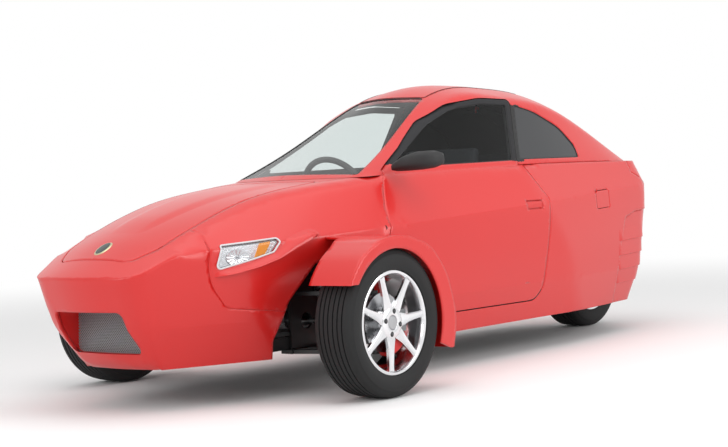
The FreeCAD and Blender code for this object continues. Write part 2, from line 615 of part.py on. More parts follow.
FOOT = point(600, FRONT_AXLE, RAIL_Z + 0.3)
HEAD = point(428, FRONT_AXLE, 547.6)
way = HEAD - FOOT
damper = rod(FOOT + way * 0.04, FOOT + way * 0.55, 22).fuse(rod(FOOT + way * 0.5, FOOT + way * 0.985, 9))
rings = [rod(FOOT + way * k, FOOT + way * (k + 0.03), 40) for k in [0.2 + 0.06 * i for i in range(12)]]
cores = [rod(FOOT + way * 0.19, FOOT + way * 0.93, 30)]
coil = damper.fuse(rings + cores + [rod(FOOT + way * 0.02, FOOT + way * 0.07, 16),
                                    rod(FOOT + way * 0.93, FOOT + way * 0.96, 44)])
coil = coil.common(box(300, 700, 700, 1200, LOWER_Z + 8.5, 547.4))
coil = coil.cut(rod(point(300, FRONT_AXLE, HUB_Z), point(800, FRONT_AXLE, HUB_Z), 16))
both("coil_overs", coil)

rack = rod(point(-300, 1077, 262.6), point(300, 1077, 262.6), 22).fuse(
    [rod(point(300, 1077, 262.6), point(392, 1077, 262.6), 27),
     rod(point(-392, 1077, 262.6), point(-300, 1077, 262.6), 27)])
add("steering_rack", main_solid(rack.cut(box(-500, 500, 900, 1200, 200, 240.4))))

# ---------------------------------------------------------------- front knuckles, brakes and wheels

SPINDLE_END = WHEEL_X + 49
body = rod(point(AXIS_X - 17, FRONT_AXLE, HUB_Z), point(AXIS_X + 31, FRONT_AXLE, HUB_Z), 50)
column = rod(point(AXIS_X, FRONT_AXLE, HUB_Z - ARM_DROP + 9), point(AXIS_X, FRONT_AXLE, HUB_Z + ARM_DROP - 9), 16)
pins = rod(point(AXIS_X, FRONT_AXLE, HUB_Z - ARM_DROP - 8), point(AXIS_X, FRONT_AXLE, HUB_Z + ARM_DROP + 8), 8)
knuckle = body.fuse([column, pins])
knuckle = knuckle.cut(Part.makeSphere(29, point(AXIS_X, FRONT_AXLE, HUB_Z)))
knuckle = knuckle.cut(Part.makeCone(16, 30, 18, point(AXIS_X, FRONT_AXLE, HUB_Z), Vector(-1, 0, 0)))
spindle = rod(point(AXIS_X + 30, FRONT_AXLE, HUB_Z), point(SPINDLE_END, FRONT_AXLE, HUB_Z), 17)
bridge = box(AXIS_X + 6, AXIS_X + 24, FRONT_AXLE + 30, FRONT_AXLE + 126, HUB_Z - 22, HUB_Z + 22)
caliper = box(AXIS_X + 20, AXIS_X + 62, FRONT_AXLE + 76, FRONT_AXLE + 128, HUB_Z - 44, HUB_Z + 44)
disc_room = rod(point(AXIS_X + 30, FRONT_AXLE, HUB_Z), point(AXIS_X + 52.5, FRONT_AXLE, HUB_Z), 124)
caliper = caliper.cut(disc_room)
pair("knuckle", main_solid(knuckle.fuse([spindle, bridge, caliper])))

disc = rod(point(AXIS_X + 35, FRONT_AXLE, HUB_Z), point(AXIS_X + 47, FRONT_AXLE, HUB_Z), 118)
hat = rod(point(AXIS_X + 35, FRONT_AXLE, HUB_Z), point(WHEEL_X + 51, FRONT_AXLE, HUB_Z), 64)
room = rod(point(AXIS_X + 34, FRONT_AXLE, HUB_Z), point(WHEEL_X + 43, FRONT_AXLE, HUB_Z), 57)
boss = rod(point(AXIS_X + 37, FRONT_AXLE, HUB_Z), point(WHEEL_X + 51, FRONT_AXLE, HUB_Z), 28)
disc = disc.fuse(hat).cut(room).fuse(boss).cut(
    rod(point(AXIS_X + 30, FRONT_AXLE, HUB_Z), point(WHEEL_X + 60, FRONT_AXLE, HUB_Z), 17.3))
pair("brake_disc", main_solid(disc))

HALF_TYRE = TYRE_W / 2
HALF_RIM = dim("rim_width") / 2
BARREL = RIM_R - 18
TYRE_OUTER = [(-HALF_RIM + 6.5, BARREL + 0.6), (-HALF_RIM + 6.5, RIM_R + 4), (-HALF_TYRE + 5, RIM_R + 14),
              (-HALF_TYRE, RIM_R + 40), (-HALF_TYRE + 3, TYRE_R - 28), (-HALF_TYRE + 12, TYRE_R - 9),
              (-HALF_TYRE + 34, TYRE_R)]
TYRE_INNER = [(-HALF_RIM + 22, BARREL + 0.6), (-HALF_RIM + 18, RIM_R + 4), (-HALF_TYRE + 13, RIM_R + 38),
              (-HALF_TYRE + 16, TYRE_R - 30), (-HALF_TYRE + 40, TYRE_R - 14)]
TYRE_RADII = {1: 4, 2: 10, 3: 30, 4: 30, 5: 14, 6: 40}


def turned(profile, x, station, z):
    """A solid of revolution about an X axis from (x, radius, corner radius) corners."""
    wire = rounded_wire([(Vector(a, 0, b), r) for a, b, r in profile])
    solid = Part.Face(wire).revolve(Vector(0, 0, 0), Vector(1, 0, 0), 360)
    return solid.translated(point(x, station, z))


def tyre_shape():
    outer = [(a, b, TYRE_RADII.get(i, 0)) for i, (a, b) in enumerate(TYRE_OUTER)]
    inner = [(a, b, 12 if i else 0) for i, (a, b) in enumerate(TYRE_INNER)]
    left_outer = [(-a, b, r) for a, b, r in reversed(outer)]
    left_inner = [(-a, b, r) for a, b, r in inner]
    return turned(outer + left_outer + left_inner + list(reversed(inner)), 0, LENGTH / 2, 0)


def rim_shape():
    """A rim facing +X: barrel with flanges, a dished hub and tapered spokes."""
    w, r = HALF_RIM, RIM_R
    barrel = turned([(-w, r, 3), (-w + 6, r, 2), (-w + 6, BARREL, 0), (w - 6, BARREL, 0), (w - 6, r, 2),
                     (w, r, 3), (w, r - 8, 3), (w - 9, BARREL - 7, 6), (-w + 9, BARREL - 7, 6),
                     (-w, r - 8, 3)], 0, LENGTH / 2, 0)
    hub = turned([(51, 0, 0), (51, 62, 3), (70, 62, 8), (74, 36, 6), (80, 30, 5), (80, 0, 0)], 0, LENGTH / 2, 0)
    count = int(dim("spokes"))
    spokes = []
    for k in range(count):
        sections = []
        for radius, wide, x0, x1 in ((48, 15, 52, 70), (120, 10, 56, 76), (BARREL - 3, 15, 60, 82)):
            corners = [Vector(x0, -wide, radius), Vector(x0, wide, radius), Vector(x1, wide * 0.62, radius),
                       Vector(x1, -wide * 0.62, radius)]
            sections.append(Part.makePolygon(corners + [corners[0]]))
        spoke = Part.makeLoft(sections, True, True)
        spoke.rotate(Vector(0, 0, 0), Vector(1, 0, 0), 360.0 * k / count)
        spokes.append(spoke)
    rim = barrel.fuse([hub] + spokes)
    for k in range(int(dim("lug_count"))):
        angle = math.radians(45 + 360.0 * k / dim("lug_count"))
        a, b = dim("lug_circle") / 2 * math.cos(angle), dim("lug_circle") / 2 * math.sin(angle)
        rim = rim.cut(Part.makeCylinder(9, 40, Vector(60, a, b), Vector(1, 0, 0)))
    return rim


RIM = rim_shape()
TYRE = tyre_shape()
for name, x, station, sign in (("front_left", WHEEL_X, FRONT_AXLE, 1), ("front_right", -WHEEL_X, FRONT_AXLE, -1),
                               ("rear", 0, REAR_AXLE, 1)):
    rim, tyre = on_side(RIM, sign), TYRE
    if name == "rear":
        hub = Part.makeCylinder(32, 158, Vector(-106, 0, 0), Vector(1, 0, 0))
        rim = rim.fuse(hub).cut(Part.makeCylinder(12.3, 400, Vector(-200, 0, 0), Vector(1, 0, 0)))
    add("rim_" + name, main_solid(rim).translated(point(x, station, HUB_Z)))
    add("tyre_" + name, tyre.translated(point(x, station, HUB_Z)))

# ---------------------------------------------------------------- rear suspension

fork = []
for sign in (1, -1):
    low, high = sorted((sign * 114, sign * 134))
    fork.append(prism([(3380, 262, 10), (3380, 318, 10), (REAR_AXLE - 10, HUB_Z + 26, 20),
                       (REAR_AXLE + 26, HUB_Z + 26, 20), (REAR_AXLE + 26, HUB_Z - 26, 20),
                       (REAR_AXLE - 10, HUB_Z - 26, 20)], "x", low, high))
pivot = rod(point(-134, 3396, 290), point(134, 3396, 290), 25)
axle = rod(point(-134, REAR_AXLE, HUB_Z), point(134, REAR_AXLE, HUB_Z), 12)
mount_pad = box(-134, 134, 3370.6, 3390, 272, 308)
swing = fork[0].fuse([fork[1], pivot, axle, mount_pad]).cut(box(-200, 200, 3300, 3370.6, 0, 900))
add("swing_arm", main_solid(swing))
shock_foot, shock_head = point(152, 3647, 300), point(152, 3487, 707)
lean = shock_head - shock_foot
shock = rod(shock_foot, shock_foot + lean * 0.5, 18).fuse(
    [rod(shock_foot, shock_head, 8), rod(shock_foot + lean * 0.2, shock_foot + lean * 0.9, 30)])
shock = shock.cut(box(0, 134.6, 3300, 3900, 0, 900)).common(box(0, 300, 3300, 3900, 0, 707.4))
both("rear_shocks", shock)

# ---------------------------------------------------------------- cabin

SEAT = [(1790, 250, 30), (1800, 372, 50), (2200, 330, 60), (2395, 860, 60), (2440, 1010, 40), (2500, 1004, 40),
        (2470, 860, 80), (2330, 300, 80), (2300, FLOOR_TOP + 0.6, 0), (1860, FLOOR_TOP + 0.6, 0)]
seat = side(SEAT, 0, -215, 215)
rear_seat = side([(a + 640, b if b < 900 else b - 20, r) for a, b, r in SEAT], 0, -215, 215)
add("seat_front", seat)
add("seat_rear", rear_seat)
DASH_FRONT = BULKHEAD_REAR + SEAM
DASH = [(DASH_FRONT, 600), (1430, 640, 40), (1490, 760, 40), (1450, 850, 40), (DASH_FRONT, 862)]
DASH_HALF = HINGE_X - 68
dash = side(DASH, 0, -DASH_HALF, DASH_HALF).common(walls(DOOR_T + 8)).common(under_deck(30))
column_way = Vector(0, math.cos(math.radians(dim("wheel_tilt"))), math.sin(math.radians(dim("wheel_tilt"))))
COLUMN = point(0, 1430, 720)
WHEEL_HUB = COLUMN + column_way * 210
dash = dash.fuse(rod(COLUMN, COLUMN + column_way * 150, 30))
dash = dash.cut(rod(COLUMN + column_way * 20, COLUMN + column_way * 300, 10.3))
add("dashboard", main_solid(dash))
ring = Part.makeTorus(dim("steering_wheel_radius"), 14, WHEEL_HUB, column_way)
boss = rod(WHEEL_HUB - column_way * 30, WHEEL_HUB + column_way * 12, 44)
shaft = rod(COLUMN + column_way * 40, WHEEL_HUB, 10)
across = Vector(1, 0, 0)
up = column_way.cross(across)
down = up * -1 if up.z > 0 else up
reach = dim("steering_wheel_radius") - 3
bars = [rod(WHEEL_HUB, WHEEL_HUB + way * reach, 11) for way in (across, across * -1, down)]
add("steering_wheel", main_solid(ring.fuse([boss, shaft] + bars)))

# ---------------------------------------------------------------- checks and files

doc.recompute()
os.makedirs("parts", exist_ok=True)
for node in NODES:
    if {"Invalid", "Error"} & set(node.State):
        raise RuntimeError("%s doesn't build" % node.Label)
    if node.Shape.isNull() or not node.Shape.isValid():
        raise RuntimeError("%s has a bad shape" % node.Label)
for node in NODES:
    node.Shape.exportStep("parts/%s.step" % node.Label)
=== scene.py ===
"""The three wheeled car in its studio: finishes, the pieces that CAD leaves out, light and camera."""

import math

import bmesh
import bpy
from mathutils import Matrix, Vector
from mathutils.bvhtree import BVHTree


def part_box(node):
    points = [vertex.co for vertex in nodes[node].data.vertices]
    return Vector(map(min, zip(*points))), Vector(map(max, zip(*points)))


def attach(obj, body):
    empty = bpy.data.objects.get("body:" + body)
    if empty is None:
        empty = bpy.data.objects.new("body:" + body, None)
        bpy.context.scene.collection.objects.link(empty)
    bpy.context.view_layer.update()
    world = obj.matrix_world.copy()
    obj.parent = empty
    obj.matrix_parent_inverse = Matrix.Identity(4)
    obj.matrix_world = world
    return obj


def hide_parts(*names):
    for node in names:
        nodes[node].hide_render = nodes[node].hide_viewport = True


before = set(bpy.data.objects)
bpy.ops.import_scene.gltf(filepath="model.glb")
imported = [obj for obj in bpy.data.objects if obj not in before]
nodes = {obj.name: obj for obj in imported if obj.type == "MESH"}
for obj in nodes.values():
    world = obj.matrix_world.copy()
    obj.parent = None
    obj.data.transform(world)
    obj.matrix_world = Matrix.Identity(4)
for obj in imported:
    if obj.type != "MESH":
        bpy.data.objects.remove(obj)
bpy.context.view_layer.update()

# ---------------------------------------------------------------- body panels
# Hand-laid panels in one warm red, sprayed and left semi-gloss.
# They are hung on the tub and its hinges; the shut lines are the real gaps between them.

# The car's overall length in metres, and one millimetre.
LENGTH = 4.077
MM = 0.001


def row(x, station, z):
    """A point given in millimetres, its station measured back from the nose, in the row frame."""
    return Vector((x * MM, station * MM - LENGTH / 2, z * MM))


def linear(hex_colour):
    """An sRGB hex colour as linear RGBA."""
    rgba = []
    for start in (0, 2, 4):
        c = int(hex_colour[start:start + 2], 16) / 255
        rgba.append(c / 12.92 if c <= 0.04045 else ((c + 0.055) / 1.055) ** 2.4)
    return (*rgba, 1.0)


def add_node(tree, kind, settings, inputs):
    """Adds one shader node, sets its properties, and fills its inputs with values or other nodes' outputs."""
    made = tree.nodes.new(kind)
    for key, value in settings.items():
        setattr(made, key, value)
    for key, value in inputs.items():
        if isinstance(value, bpy.types.NodeSocket):
            tree.links.new(value, made.inputs[key])
        else:
            made.inputs[key].default_value = value
    return made


def finish(name, low, high, grain, roughness, bump=0.0, spread=0.08, **extra):
    """A finish whose colour drifts between two hex colours and whose roughness varies, over a grain in mm.

    bump is the height of the grain in mm, and extra holds further inputs of the Principled shader.
    """
    made = bpy.data.materials.new(name)
    made.use_nodes = True
    tree = made.node_tree
    tree.nodes.clear()
    place = add_node(tree, "ShaderNodeTexCoord", {}, {})
    noise = add_node(tree, "ShaderNodeTexNoise", {}, {
        "Vector": place.outputs["Object"], "Scale": 1 / (grain * MM), "Detail": 3.0, "Roughness": 0.55})
    colour = add_node(tree, "ShaderNodeMix", {"data_type": "RGBA"}, {
        0: noise.outputs["Fac"], 6: linear(low), 7: linear(high)})
    rough = add_node(tree, "ShaderNodeMapRange", {}, {
        "Value": noise.outputs["Fac"], "To Min": roughness - spread / 2, "To Max": roughness + spread / 2})
    shader = add_node(tree, "ShaderNodeBsdfPrincipled", {}, {
        "Base Color": colour.outputs[2], "Roughness": rough.outputs[0]})
    if bump:
        relief = add_node(tree, "ShaderNodeBump", {}, {
            "Height": noise.outputs["Fac"], "Distance": bump * MM, "Strength": 1.0})
        tree.links.new(relief.outputs[0], shader.inputs["Normal"])
    for key, value in extra.items():
        shader.inputs[key.replace("_", " ")].default_value = value
    add_node(tree, "ShaderNodeOutputMaterial", {}, {"Surface": shader.outputs[0]})
    return made


def dress(material, *names):
    """Gives CAD nodes one finish."""
    for name in names:
        nodes[name].data.materials.clear()
        nodes[name].data.materials.append(material)


def build(name, mesh, material, body, crease=40):
    """Turns a bmesh into a smooth-shaded object that rides on a body.

    Edges sharper than crease degrees stay hard.
    """
    bmesh.ops.recalc_face_normals(mesh, faces=mesh.faces)
    data = bpy.data.meshes.new(name)
    mesh.to_mesh(data)
    mesh.free()
    data.materials.append(material)
    data.shade_smooth()
    data.set_sharp_from_angle(angle=math.radians(crease))
    made = bpy.data.objects.new(name, data)
    bpy.context.scene.collection.objects.link(made)
    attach(made, body)
    return made


# The eye sees a warm signal red with a soft, slightly pinkish shine.
red_paint = finish("red gelcoat", "C4120F", "CE1814", 900, 0.36, spread=0.04,
                   Coat_Weight=0.3, Coat_Roughness=0.14)
# Everything that looks into the cabin is lined in dark felt; the eye sees it as near black through the glass.
lining = finish("dark cabin lining", "18181A", "222225", 6, 0.85, bump=0.1)
PANELS = {"front_bumper": "body", "hood": "hood", "cowl": "body", "front_side_panels": "body", "wings": "body",
          "door_left": "door_left", "door_right": "door_right", "roof_panel": "body", "side_frames": "body",
          "rear_hatch": "hatch", "body_side_left": "body", "body_side_right": "body", "rear_bumper": "body",
          "tail_panel": "body"}
LINED = ("roof_panel", "side_frames", "rear_hatch", "body_side_left", "body_side_right", "cowl",
         "front_side_panels", "door_left", "door_right")
# The height of the cabin's middle and of the foot of the windows, in metres.
CABIN_MIDDLE = 0.72
BELT = 0.93
# The longest edge of a softened panel in metres; edges sharper than HARD_EDGE degrees stay put unless their run
# is shorter than SHORTEST_EDGE or they border a triangle smaller than SLIVER in square metres.
GRAIN = 0.019
HARD_EDGE = 58
SLIVER = 4e-8
SHORTEST_EDGE = 0.15
# The station of the front axle and the height of every wheel's centre, in mm. Then the radius in metres of the
# outside of a front wing about its wheel's centre, the share of what stands beyond it that is taken off, and the
# run over which that begins.
FRONT_AXLE = 933
HUB_Z = 298
WING_SWEEP = 0.336
WING_TRIM = 0.85
WING_FADE = 0.14
# How many times each panel's points drift; the moulded corners of these are rounder than the rest.
DRIFTS = 10
ROUNDING = {"wings": 42, "front_bumper": 28, "front_side_panels": 22, "door_left": 17, "door_right": 17}
dress(red_paint, "fuel_flap")
shown = {}


def pull_in(vertex):
    """Draws the front shoulder of a wing in towards the wheel's centre, so that its outline is a round sweep."""
    hub = row(0, FRONT_AXLE, HUB_Z)
    across, up = vertex.co.y - hub.y, vertex.co.z - hub.z
    reach = math.hypot(across, up)
    spare = reach - WING_SWEEP
    if across < 0 < up and spare > 0:
        share = (reach - WING_TRIM * spare * min(-across / WING_FADE, 1.0)) / reach
        vertex.co.y = hub.y + across * share
        vertex.co.z = hub.z + up * share


def soften(node, body, passes):
    """A copy of a panel whose soft creases are rounded as a mould rounds them, while its edges stay put.

    The mesh is cut into small triangles, and each point off the hard edges drifts to its neighbours' mean.
    """
    mesh = bmesh.new()
    mesh.from_mesh(nodes[node].data)
    bmesh.ops.remove_doubles(mesh, verts=mesh.verts, dist=5e-5)
    bmesh.ops.triangulate(mesh, faces=mesh.faces)
    for _ in range(9):
        long_edges = [edge for edge in mesh.edges if edge.calc_length() > GRAIN]
        if not long_edges:
            break
        bmesh.ops.subdivide_edges(mesh, edges=long_edges, cuts=1)
        bmesh.ops.triangulate(mesh, faces=mesh.faces)
    mesh.normal_update()
    hard = {edge for edge in mesh.edges
            if edge.calc_face_angle(math.pi) > math.radians(HARD_EDGE)
            and all(face.calc_area() > SLIVER for face in edge.link_faces)}
    held = set()
    while hard:
        run = [hard.pop()]
        for edge in run:
            for vertex in edge.verts:
                for other in vertex.link_edges:
                    if other in hard:
                        hard.remove(other)
                        run.append(other)
        if sum(edge.calc_length() for edge in run) > SHORTEST_EDGE:
            held.update(vertex for edge in run for vertex in edge.verts)
    if node == "wings":
        for vertex in mesh.verts:
            pull_in(vertex)
    free = [vertex for vertex in mesh.verts if vertex not in held and vertex.link_edges]
    for _ in range(passes):
        means = []
        for vertex in free:
            around = [edge.other_vert(vertex).co for edge in vertex.link_edges]
            means.append(vertex.co.lerp(sum(around, Vector()) / len(around), 0.6))
        for vertex, mean in zip(free, means):
            vertex.co = mean
    made = build(node + "_moulded", mesh, red_paint, body, crease=38)
    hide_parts(node)
    if node in LINED:
        made.data.materials.append(lining)
        for face in made.data.polygons:
            out = Vector((face.center.x, 0, face.center.z - CABIN_MIDDLE))
            framed = node.startswith("door") and face.center.z > BELT
            if framed or face.normal.dot(out) < -0.25 * out.length:
                face.material_index = 1
    shown[node] = made
    return made



def skin_of(*names):
    """The faces of CAD nodes as one surface, for laying pieces on them."""
    points = []
    faces = []
    for name in names:
        data = shown.get(name, nodes[name]).data
        first = len(points)
        points += [vertex.co for vertex in data.vertices]
        faces += [[first + index for index in face.vertices] for face in data.polygons]
    return BVHTree.FromPolygons(points, faces)


def drape(name, skin, shape, place, toward, rise, material, body):
    """A sheet of shape (across, along) cells laid on a skin.

    place(u, v) is a point well outside the skin, toward the way it falls, rise(u, v) its height in mm there.
    """
    across, along = shape
    toward = Vector(toward).normalized()
    mesh = bmesh.new()
    laid = {}
    for i in range(across + 1):
        for j in range(along + 1):
            u, v = i / across, j / along
            hit, normal, _, _ = skin.ray_cast(place(u, v), toward)
            if hit is None:
                continue
            if normal.dot(toward) > 0:
                normal = -normal
            laid[i, j] = mesh.verts.new(hit + normal * rise(u, v) * MM)
    for i in range(across):
        for j in range(along):
            corners = [(i, j), (i + 1, j), (i + 1, j + 1), (i, j + 1)]
            if all(corner in laid for corner in corners):
                mesh.faces.new([laid[corner] for corner in corners])
    return build(name, mesh, material, body)


def swell(t):
    """0 at or below 0, 1 at or above 1, and smooth between."""
    t = min(max(t, 0.0), 1.0)
    return t * t * (3 - 2 * t)


def mix(a, b, t):
    return a + (b - a) * t


for panel, panel_body in PANELS.items():
    soften(panel, panel_body, ROUNDING.get(panel, DRIFTS))

# The middle of the hood stands a little proud, with a soft edge all round.
HOOD_RISE = 7.0
HOOD_SINK = 0.5
hood_skin = skin_of("hood")


def hood_place(u, v):
    station = mix(262, 1110, v)
    return row(mix(-1, 1, u) * mix(118, 205, v), station, 1500)


def hood_rise(u, v):
    edge = min(u, 1 - u) * 2
    return (HOOD_RISE + HOOD_SINK) * swell(edge / 0.5) * swell(v / 0.22) * swell((1 - v) / 0.12) - HOOD_SINK


drape("hood_raised_centre", hood_skin, (40, 80), hood_place, (0, 0, -1), hood_rise, red_paint, "hood")

# The eye sees a small dark enamel oval inside a pale rim; it is blank.
BADGE_STATION = 185
pale_metal = finish("pale badge rim", "B9B08A", "C8C0A0", 20, 0.3, Metallic=1.0)
dark_enamel = finish("dark badge enamel", "1F2A26", "26312C", 10, 0.25)


def oval(half_x, half_s):
    """Places on the hood around the badge's centre, u the distance out and v the way round."""
    def place(u, v):
        turn = v * 2 * math.pi
        return row(half_x * u * math.cos(turn), BADGE_STATION + half_s * u * math.sin(turn), 1500)
    return place


drape("badge_rim", hood_skin, (8, 48), oval(33, 40), (0, 0, -1),
      lambda u, v: 3.2 * swell((1 - u) / 0.15) - 0.4, pale_metal, "hood")
drape("badge_face", hood_skin, (8, 48), oval(27, 34), (0, 0, -1),
      lambda u, v: 2.6 + 1.2 * (1 - u * u), dark_enamel, "hood")

# Under each head lamp the panel swells into a ledge that runs back and up, with a sharp underside.
# The ledge's lower and upper edges as (station, height) in mm, and how far it stands out.
LEDGE = [(392, 512), (480, 522), (580, 541), (680, 566), (770, 598), (850, 630), (925, 656)]
LEDGE_TOP = [(398, 540), (480, 552), (580, 573), (668, 597), (745, 652), (830, 674), (905, 688)]
LEDGE_RISE = 24
ledge_skin = skin_of("front_side_panels", "front_bumper")


def along(points, t):
    """A point at share t of a run of (station, z) points."""
    t = min(max(t, 0.0), 0.9999) * (len(points) - 1)
    first = int(t)
    return Vector(points[first]).lerp(Vector(points[first + 1]), t - first)


for side, sign in (("left", 1), ("right", -1)):
    def ledge_place(u, v, sign=sign):
        station, height = along(LEDGE_TOP, u).lerp(along(LEDGE, u), v)
        return row(sign * 1200, station, height)

    def ledge_rise(u, v):
        ends = swell(u / 0.08) * swell((1 - u) / 0.16)
        step = swell(v / 0.85) if v < 0.92 else (1 - v) / 0.08
        return LEDGE_RISE * ends * step - 0.5

    drape(f"lamp_ledge_{side}", ledge_skin, (60, 20), ledge_place, (-sign, 0, 0), ledge_rise, red_paint, "body")

# Four shallow gills step down the rear corner on each side, each lapping over the one below.
GILL_STATIONS = (3335, 3720)
GILL_TOPS = (560, 487, 410, 335, 262)
GILL_LAP = 6.0
corner_skin = skin_of("rear_bumper", "body_side_left", "body_side_right")
for side, sign in (("left", 1), ("right", -1)):
    for number, (top, foot) in enumerate(zip(GILL_TOPS, GILL_TOPS[1:])):
        def gill_place(u, v, top=top, foot=foot, sign=sign):
            station = mix(GILL_STATIONS[0], GILL_STATIONS[1], u) + 18 * (v - 0.5)
            return row(sign * 1200, station, mix(top, foot, v) + 10 * u)

        def gill_rise(u, v):
            lap = swell(u / 0.12) * swell((1 - u) / 0.12)
            step = v / 0.94 if v < 0.94 else (1 - v) / 0.06
            return (GILL_LAP + 0.5) * lap * step - 0.5

        drape(f"gill_{side}_{number + 1}", corner_skin, (48, 34), gill_place, (-sign, 0, 0), gill_rise,
              red_paint, "body")

# A painted filler plate closes the small gap left in the tail panel above each tail lamp.
# It is the plane between four points of the panel round the gap, its rim sunk under the paint.
FILLER_X = (222, 330)
FILLER_Z = (800, 852)
FILLER_CELLS = (14, 8)
FILLER_RISE = 1.6
tail_skin = skin_of("tail_panel")
for side, sign in (("left", 1), ("right", -1)):
    inner, outer = ([tail_skin.ray_cast(row(sign * x, 4400, z), Vector((0, -1, 0)))[0] for z in FILLER_Z]
                    for x in FILLER_X)
    plate = bmesh.new()
    laid = {}
    for i in range(FILLER_CELLS[0] + 1):
        for j in range(FILLER_CELLS[1] + 1):
            u, v = i / FILLER_CELLS[0], j / FILLER_CELLS[1]
            place = inner[0].lerp(inner[1], v).lerp(outer[0].lerp(outer[1], v), u)
            lift = FILLER_RISE * swell(min(u, 1 - u, v, 1 - v) / 0.15) - 0.4
            laid[i, j] = plate.verts.new(place + Vector((sign * lift, lift, 0)) * MM)
    for i in range(FILLER_CELLS[0]):
        for j in range(FILLER_CELLS[1]):
            plate.faces.new((laid[i, j], laid[i + 1, j], laid[i + 1, j + 1], laid[i, j + 1]))
    build(f"tail_filler_{side}", plate, red_paint, "body")

# ---------------------------------------------------------------- structure under the body
# Steel tub, subframe and suspension arms, painted satin black, and bare cast or machined parts.
# They are welded and bolted; from outside only the front suspension shows, beside the nose.

# The eye sees near black with a faint sheen and a little road dust.
black_steel = finish("satin black steel", "0B0B0C", "171718", 60, 0.42, bump=0.05)
cast_metal = finish("cast aluminium", "7C7E80", "8D8F90", 12, 0.5, bump=0.15, Metallic=1.0)
bare_steel = finish("machined steel", "A3A4A6", "B9BABC", 30, 0.28, Metallic=1.0)
dress(black_steel, "body_tub", "front_subframe", "wishbones", "coil_overs", "swing_arm", "rear_shocks",
      "door_hinges", "hatch_hinges")
dress(cast_metal, "knuckle_left", "knuckle_right", "engine", "steering_rack")
dress(bare_steel, "brake_disc_left", "brake_disc_right", "drive_shafts")

# ---------------------------------------------------------------- wheels
# 15 inch cast alloy rims, bright and polished, with road tyres.

# The eye sees bright, slightly warm metal with crisp dark and light reflections.
bright_alloy = finish("polished alloy", "D9D9DB", "ECECEE", 80, 0.16, spread=0.05, Metallic=1.0)
dress(bright_alloy, "rim_front_left", "rim_front_right", "rim_rear")
# The eye sees matt black rubber, greyer where it is dusty.
rubber = finish("tyre rubber", "0B0B0C", "141415", 25, 0.78, bump=0.08)


def turned(name, profile, centres, way, material, body, steps=96, sweep=(0, 360)):
    """A closed profile of (offset along the axle, radius) in mm, turned about each centre.

    way is 1 or -1, the outboard direction along X, and sweep the part of the turn, in degrees.
    """
    mesh = bmesh.new()
    whole = sweep[1] - sweep[0] == 360
    for centre in centres:
        rings = []
        for step in range(steps if whole else steps + 1):
            angle = math.radians(mix(sweep[0], sweep[1], step / steps))
            rings.append([mesh.verts.new(centre + Vector((way * offset, radius * math.sin(angle),
                                                          radius * math.cos(angle))) * MM)
                          for offset, radius in profile])
        count = len(profile)
        for step in range(steps):
            here, there = rings[step], rings[(step + 1) % len(rings)]
            for i in range(count):
                mesh.faces.new((here[i], here[(i + 1) % count], there[(i + 1) % count], there[i]))
        if not whole:
            mesh.faces.new(rings[0])
            mesh.faces.new(rings[-1])
    bmesh.ops.remove_doubles(mesh, verts=mesh.verts, dist=1e-5)
    return build(name, mesh, material, body, crease=32)


# For each wheel: its centre's x and station in mm, the way its face looks along X, and the body it turns with.
WHEELS = {"front_left": (755, FRONT_AXLE, 1, "wheel_front_left"),
          "front_right": (-755, FRONT_AXLE, -1, "wheel_front_right"),
          "rear": (0, 3727, 1, "wheel_rear")}
# The tread's radius at the middle of its width, how fast it falls away to the sides, and its grooves, in mm.
TREAD_R = 297.6
CROWN_FALL = 0.0007
GROOVE_DEPTH = 6
GROOVES = (-56, -34, -12, 12, 34, 56)
# From the inner bead over the sidewall to the shoulder, as (offset, radius).
SIDEWALL = [(-84, 209.5), (-88, 211), (-90.5, 216), (-92, 224), (-93, 226), (-95.6, 240), (-96.2, 252),
            (-95, 264), (-93.4, 270), (-92, 271), (-88, 280), (-82, 288), (-75, 293.4)]


def tyre_profile():
    """Half a round of points, then its mirror image, with the ribs of the tread between."""
    tread = []
    for groove in GROOVES:
        crown = TREAD_R - CROWN_FALL * groove * groove
        floor_r = crown - GROOVE_DEPTH
        tread += [(groove - 3, crown), (groove - 2.2, floor_r), (groove + 2.2, floor_r), (groove + 3, crown)]
    return SIDEWALL + tread + [(-offset, radius) for offset, radius in reversed(SIDEWALL)]


for wheel, (x, station, way, body) in WHEELS.items():
    tyre = turned(f"road_tyre_{wheel}", tyre_profile(), [row(x, station, HUB_Z)], way, rubber, body, steps=128)
    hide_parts(f"tyre_{wheel}")

# The rims: a barrel with a rolled lip, and seven cast spokes that narrow from the hub to the lip.
SPOKES = 7
SPOKE_PHASE = 187
BARREL = [(84, 208), (86, 204), (85, 196), (79, 192), (66, 189), (30, 180), (-20, 178), (-62, 186),
          (-80, 192), (-85, 200), (-84, 208), (-78, 207.5), (-76, 200), (-58, 192), (-20, 184), (30, 186),
          (62, 194), (76, 199), (78, 207.5)]
HUB = [(69, 0), (69, 27), (75, 30), (77, 38), (76, 55), (71, 64), (56, 67), (53, 66), (53, 0)]
# A spoke's half width and its front and back faces, at radii from the hub to the lip, in mm.
SPOKE_RUN = [(48, 26, 72, 56), (64, 28, 74, 56), (80, 23, 75.5, 57), (104, 18, 77, 58), (136, 15, 78.5, 60),
             (170, 13, 80, 62), (192, 15, 82, 64)]


